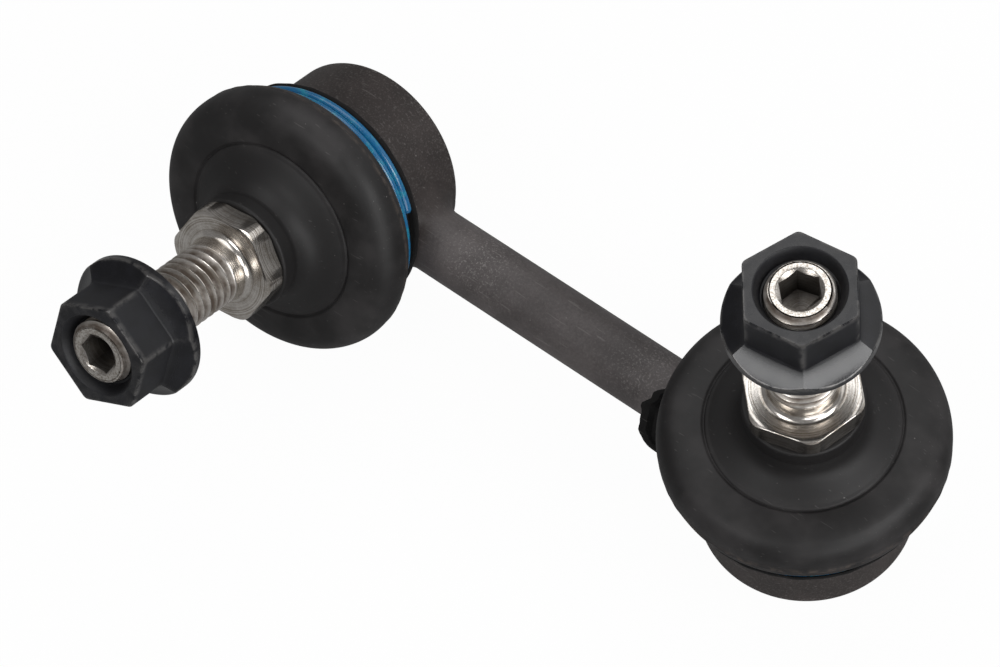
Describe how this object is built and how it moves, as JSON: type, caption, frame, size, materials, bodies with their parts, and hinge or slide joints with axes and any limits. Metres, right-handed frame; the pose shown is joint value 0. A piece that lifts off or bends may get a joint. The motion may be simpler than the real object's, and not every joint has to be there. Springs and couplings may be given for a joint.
{
  "type": "stabilizer link",
  "caption": "Short steel link rod with a sealed ball joint at each end, whose threaded studs and flange nuts join a vehicle's anti-roll bar to its suspension.",
  "frame": {"origin": "on the right stud's axis, where its straight shank begins just past the collar", "axes": "+Z along the right stud towards its free end, +X along the rod from the left ball joint to the right one"},
  "size_m": [0.127, 0.0766, 0.0743],
  "materials": {
    "phosphate_steel": "dark grey-brown phosphate coat, matt and lightly scratched",
    "boot_rubber": "moulded black rubber, matt",
    "stud_steel": "turned and plated steel, warm silver",
    "nut_black": "black coated steel, satin with worn edges",
    "clamp_wire": "blue coated spring wire",
    "neck_wire": "dark spring wire",
    "seat_plastic": "natural bearing plastic"
  },
  "bodies": {
    "link_body": {"connecting_rod": "phosphate_steel", "left_weld": "phosphate_steel", "left_housing": "phosphate_steel", "left_cover_plate": "phosphate_steel", "left_clamp_ring": "clamp_wire", "left_boot": "boot_rubber", "right_weld": "phosphate_steel", "right_housing": "phosphate_steel", "right_cover_plate": "phosphate_steel", "right_clamp_ring": "clamp_wire", "right_boot": "boot_rubber"},
    "left_bearing": {"left_ball_seat": "seat_plastic"},
    "left_boot_end": {"left_neck_ring": "neck_wire"},
    "left_stud": {"left_ball_stud": "stud_steel"},
    "left_nut": {"left_flange_nut": "nut_black"},
    "right_bearing": {"right_ball_seat": "seat_plastic"},
    "right_boot_end": {"right_neck_ring": "neck_wire"},
    "right_stud": {"right_ball_stud": "stud_steel"},
    "right_nut": {"right_flange_nut": "nut_black"}
  },
  "joints": [
    {"name": "left_swing_direction", "type": "hinge", "parent": "link_body", "child": "left_bearing", "pos_m": [-0.085, -0.004, -0.02828], "axis": [0, -0.91, 0.4147], "continuous": true},
    {"name": "left_swing", "type": "hinge", "parent": "left_bearing", "child": "left_boot_end", "pos_m": [-0.085, -0.004, -0.02828], "axis": [1, 0, 0], "range_deg": [-20, 20], "deforming": ["left_boot"]},
    {"name": "left_spin", "type": "hinge", "parent": "left_boot_end", "child": "left_stud", "pos_m": [-0.085, -0.004, -0.02828], "axis": [0, -0.91, 0.4147], "continuous": true},
    {"name": "left_nut_travel", "type": "slide", "parent": "left_stud", "child": "left_nut", "axis": [0, -0.91, 0.4147], "range_m": [-0.0134, 0.028]},
    {"name": "right_swing_direction", "type": "hinge", "parent": "link_body", "child": "right_bearing", "pos_m": [0, 0, -0.0257], "axis": [0, 0, 1], "continuous": true},
    {"name": "right_swing", "type": "hinge", "parent": "right_bearing", "child": "right_boot_end", "pos_m": [0, 0, -0.0257], "axis": [1, 0, 0], "range_deg": [-20, 20], "deforming": ["right_boot"]},
    {"name": "right_spin", "type": "hinge", "parent": "right_boot_end", "child": "right_stud", "pos_m": [0, 0, -0.0257], "axis": [0, 0, 1], "continuous": true},
    {"name": "right_nut_travel", "type": "slide", "parent": "right_stud", "child": "right_nut", "axis": [0, 0, 1], "range_m": [-0.0134, 0.028]}
  ]
}
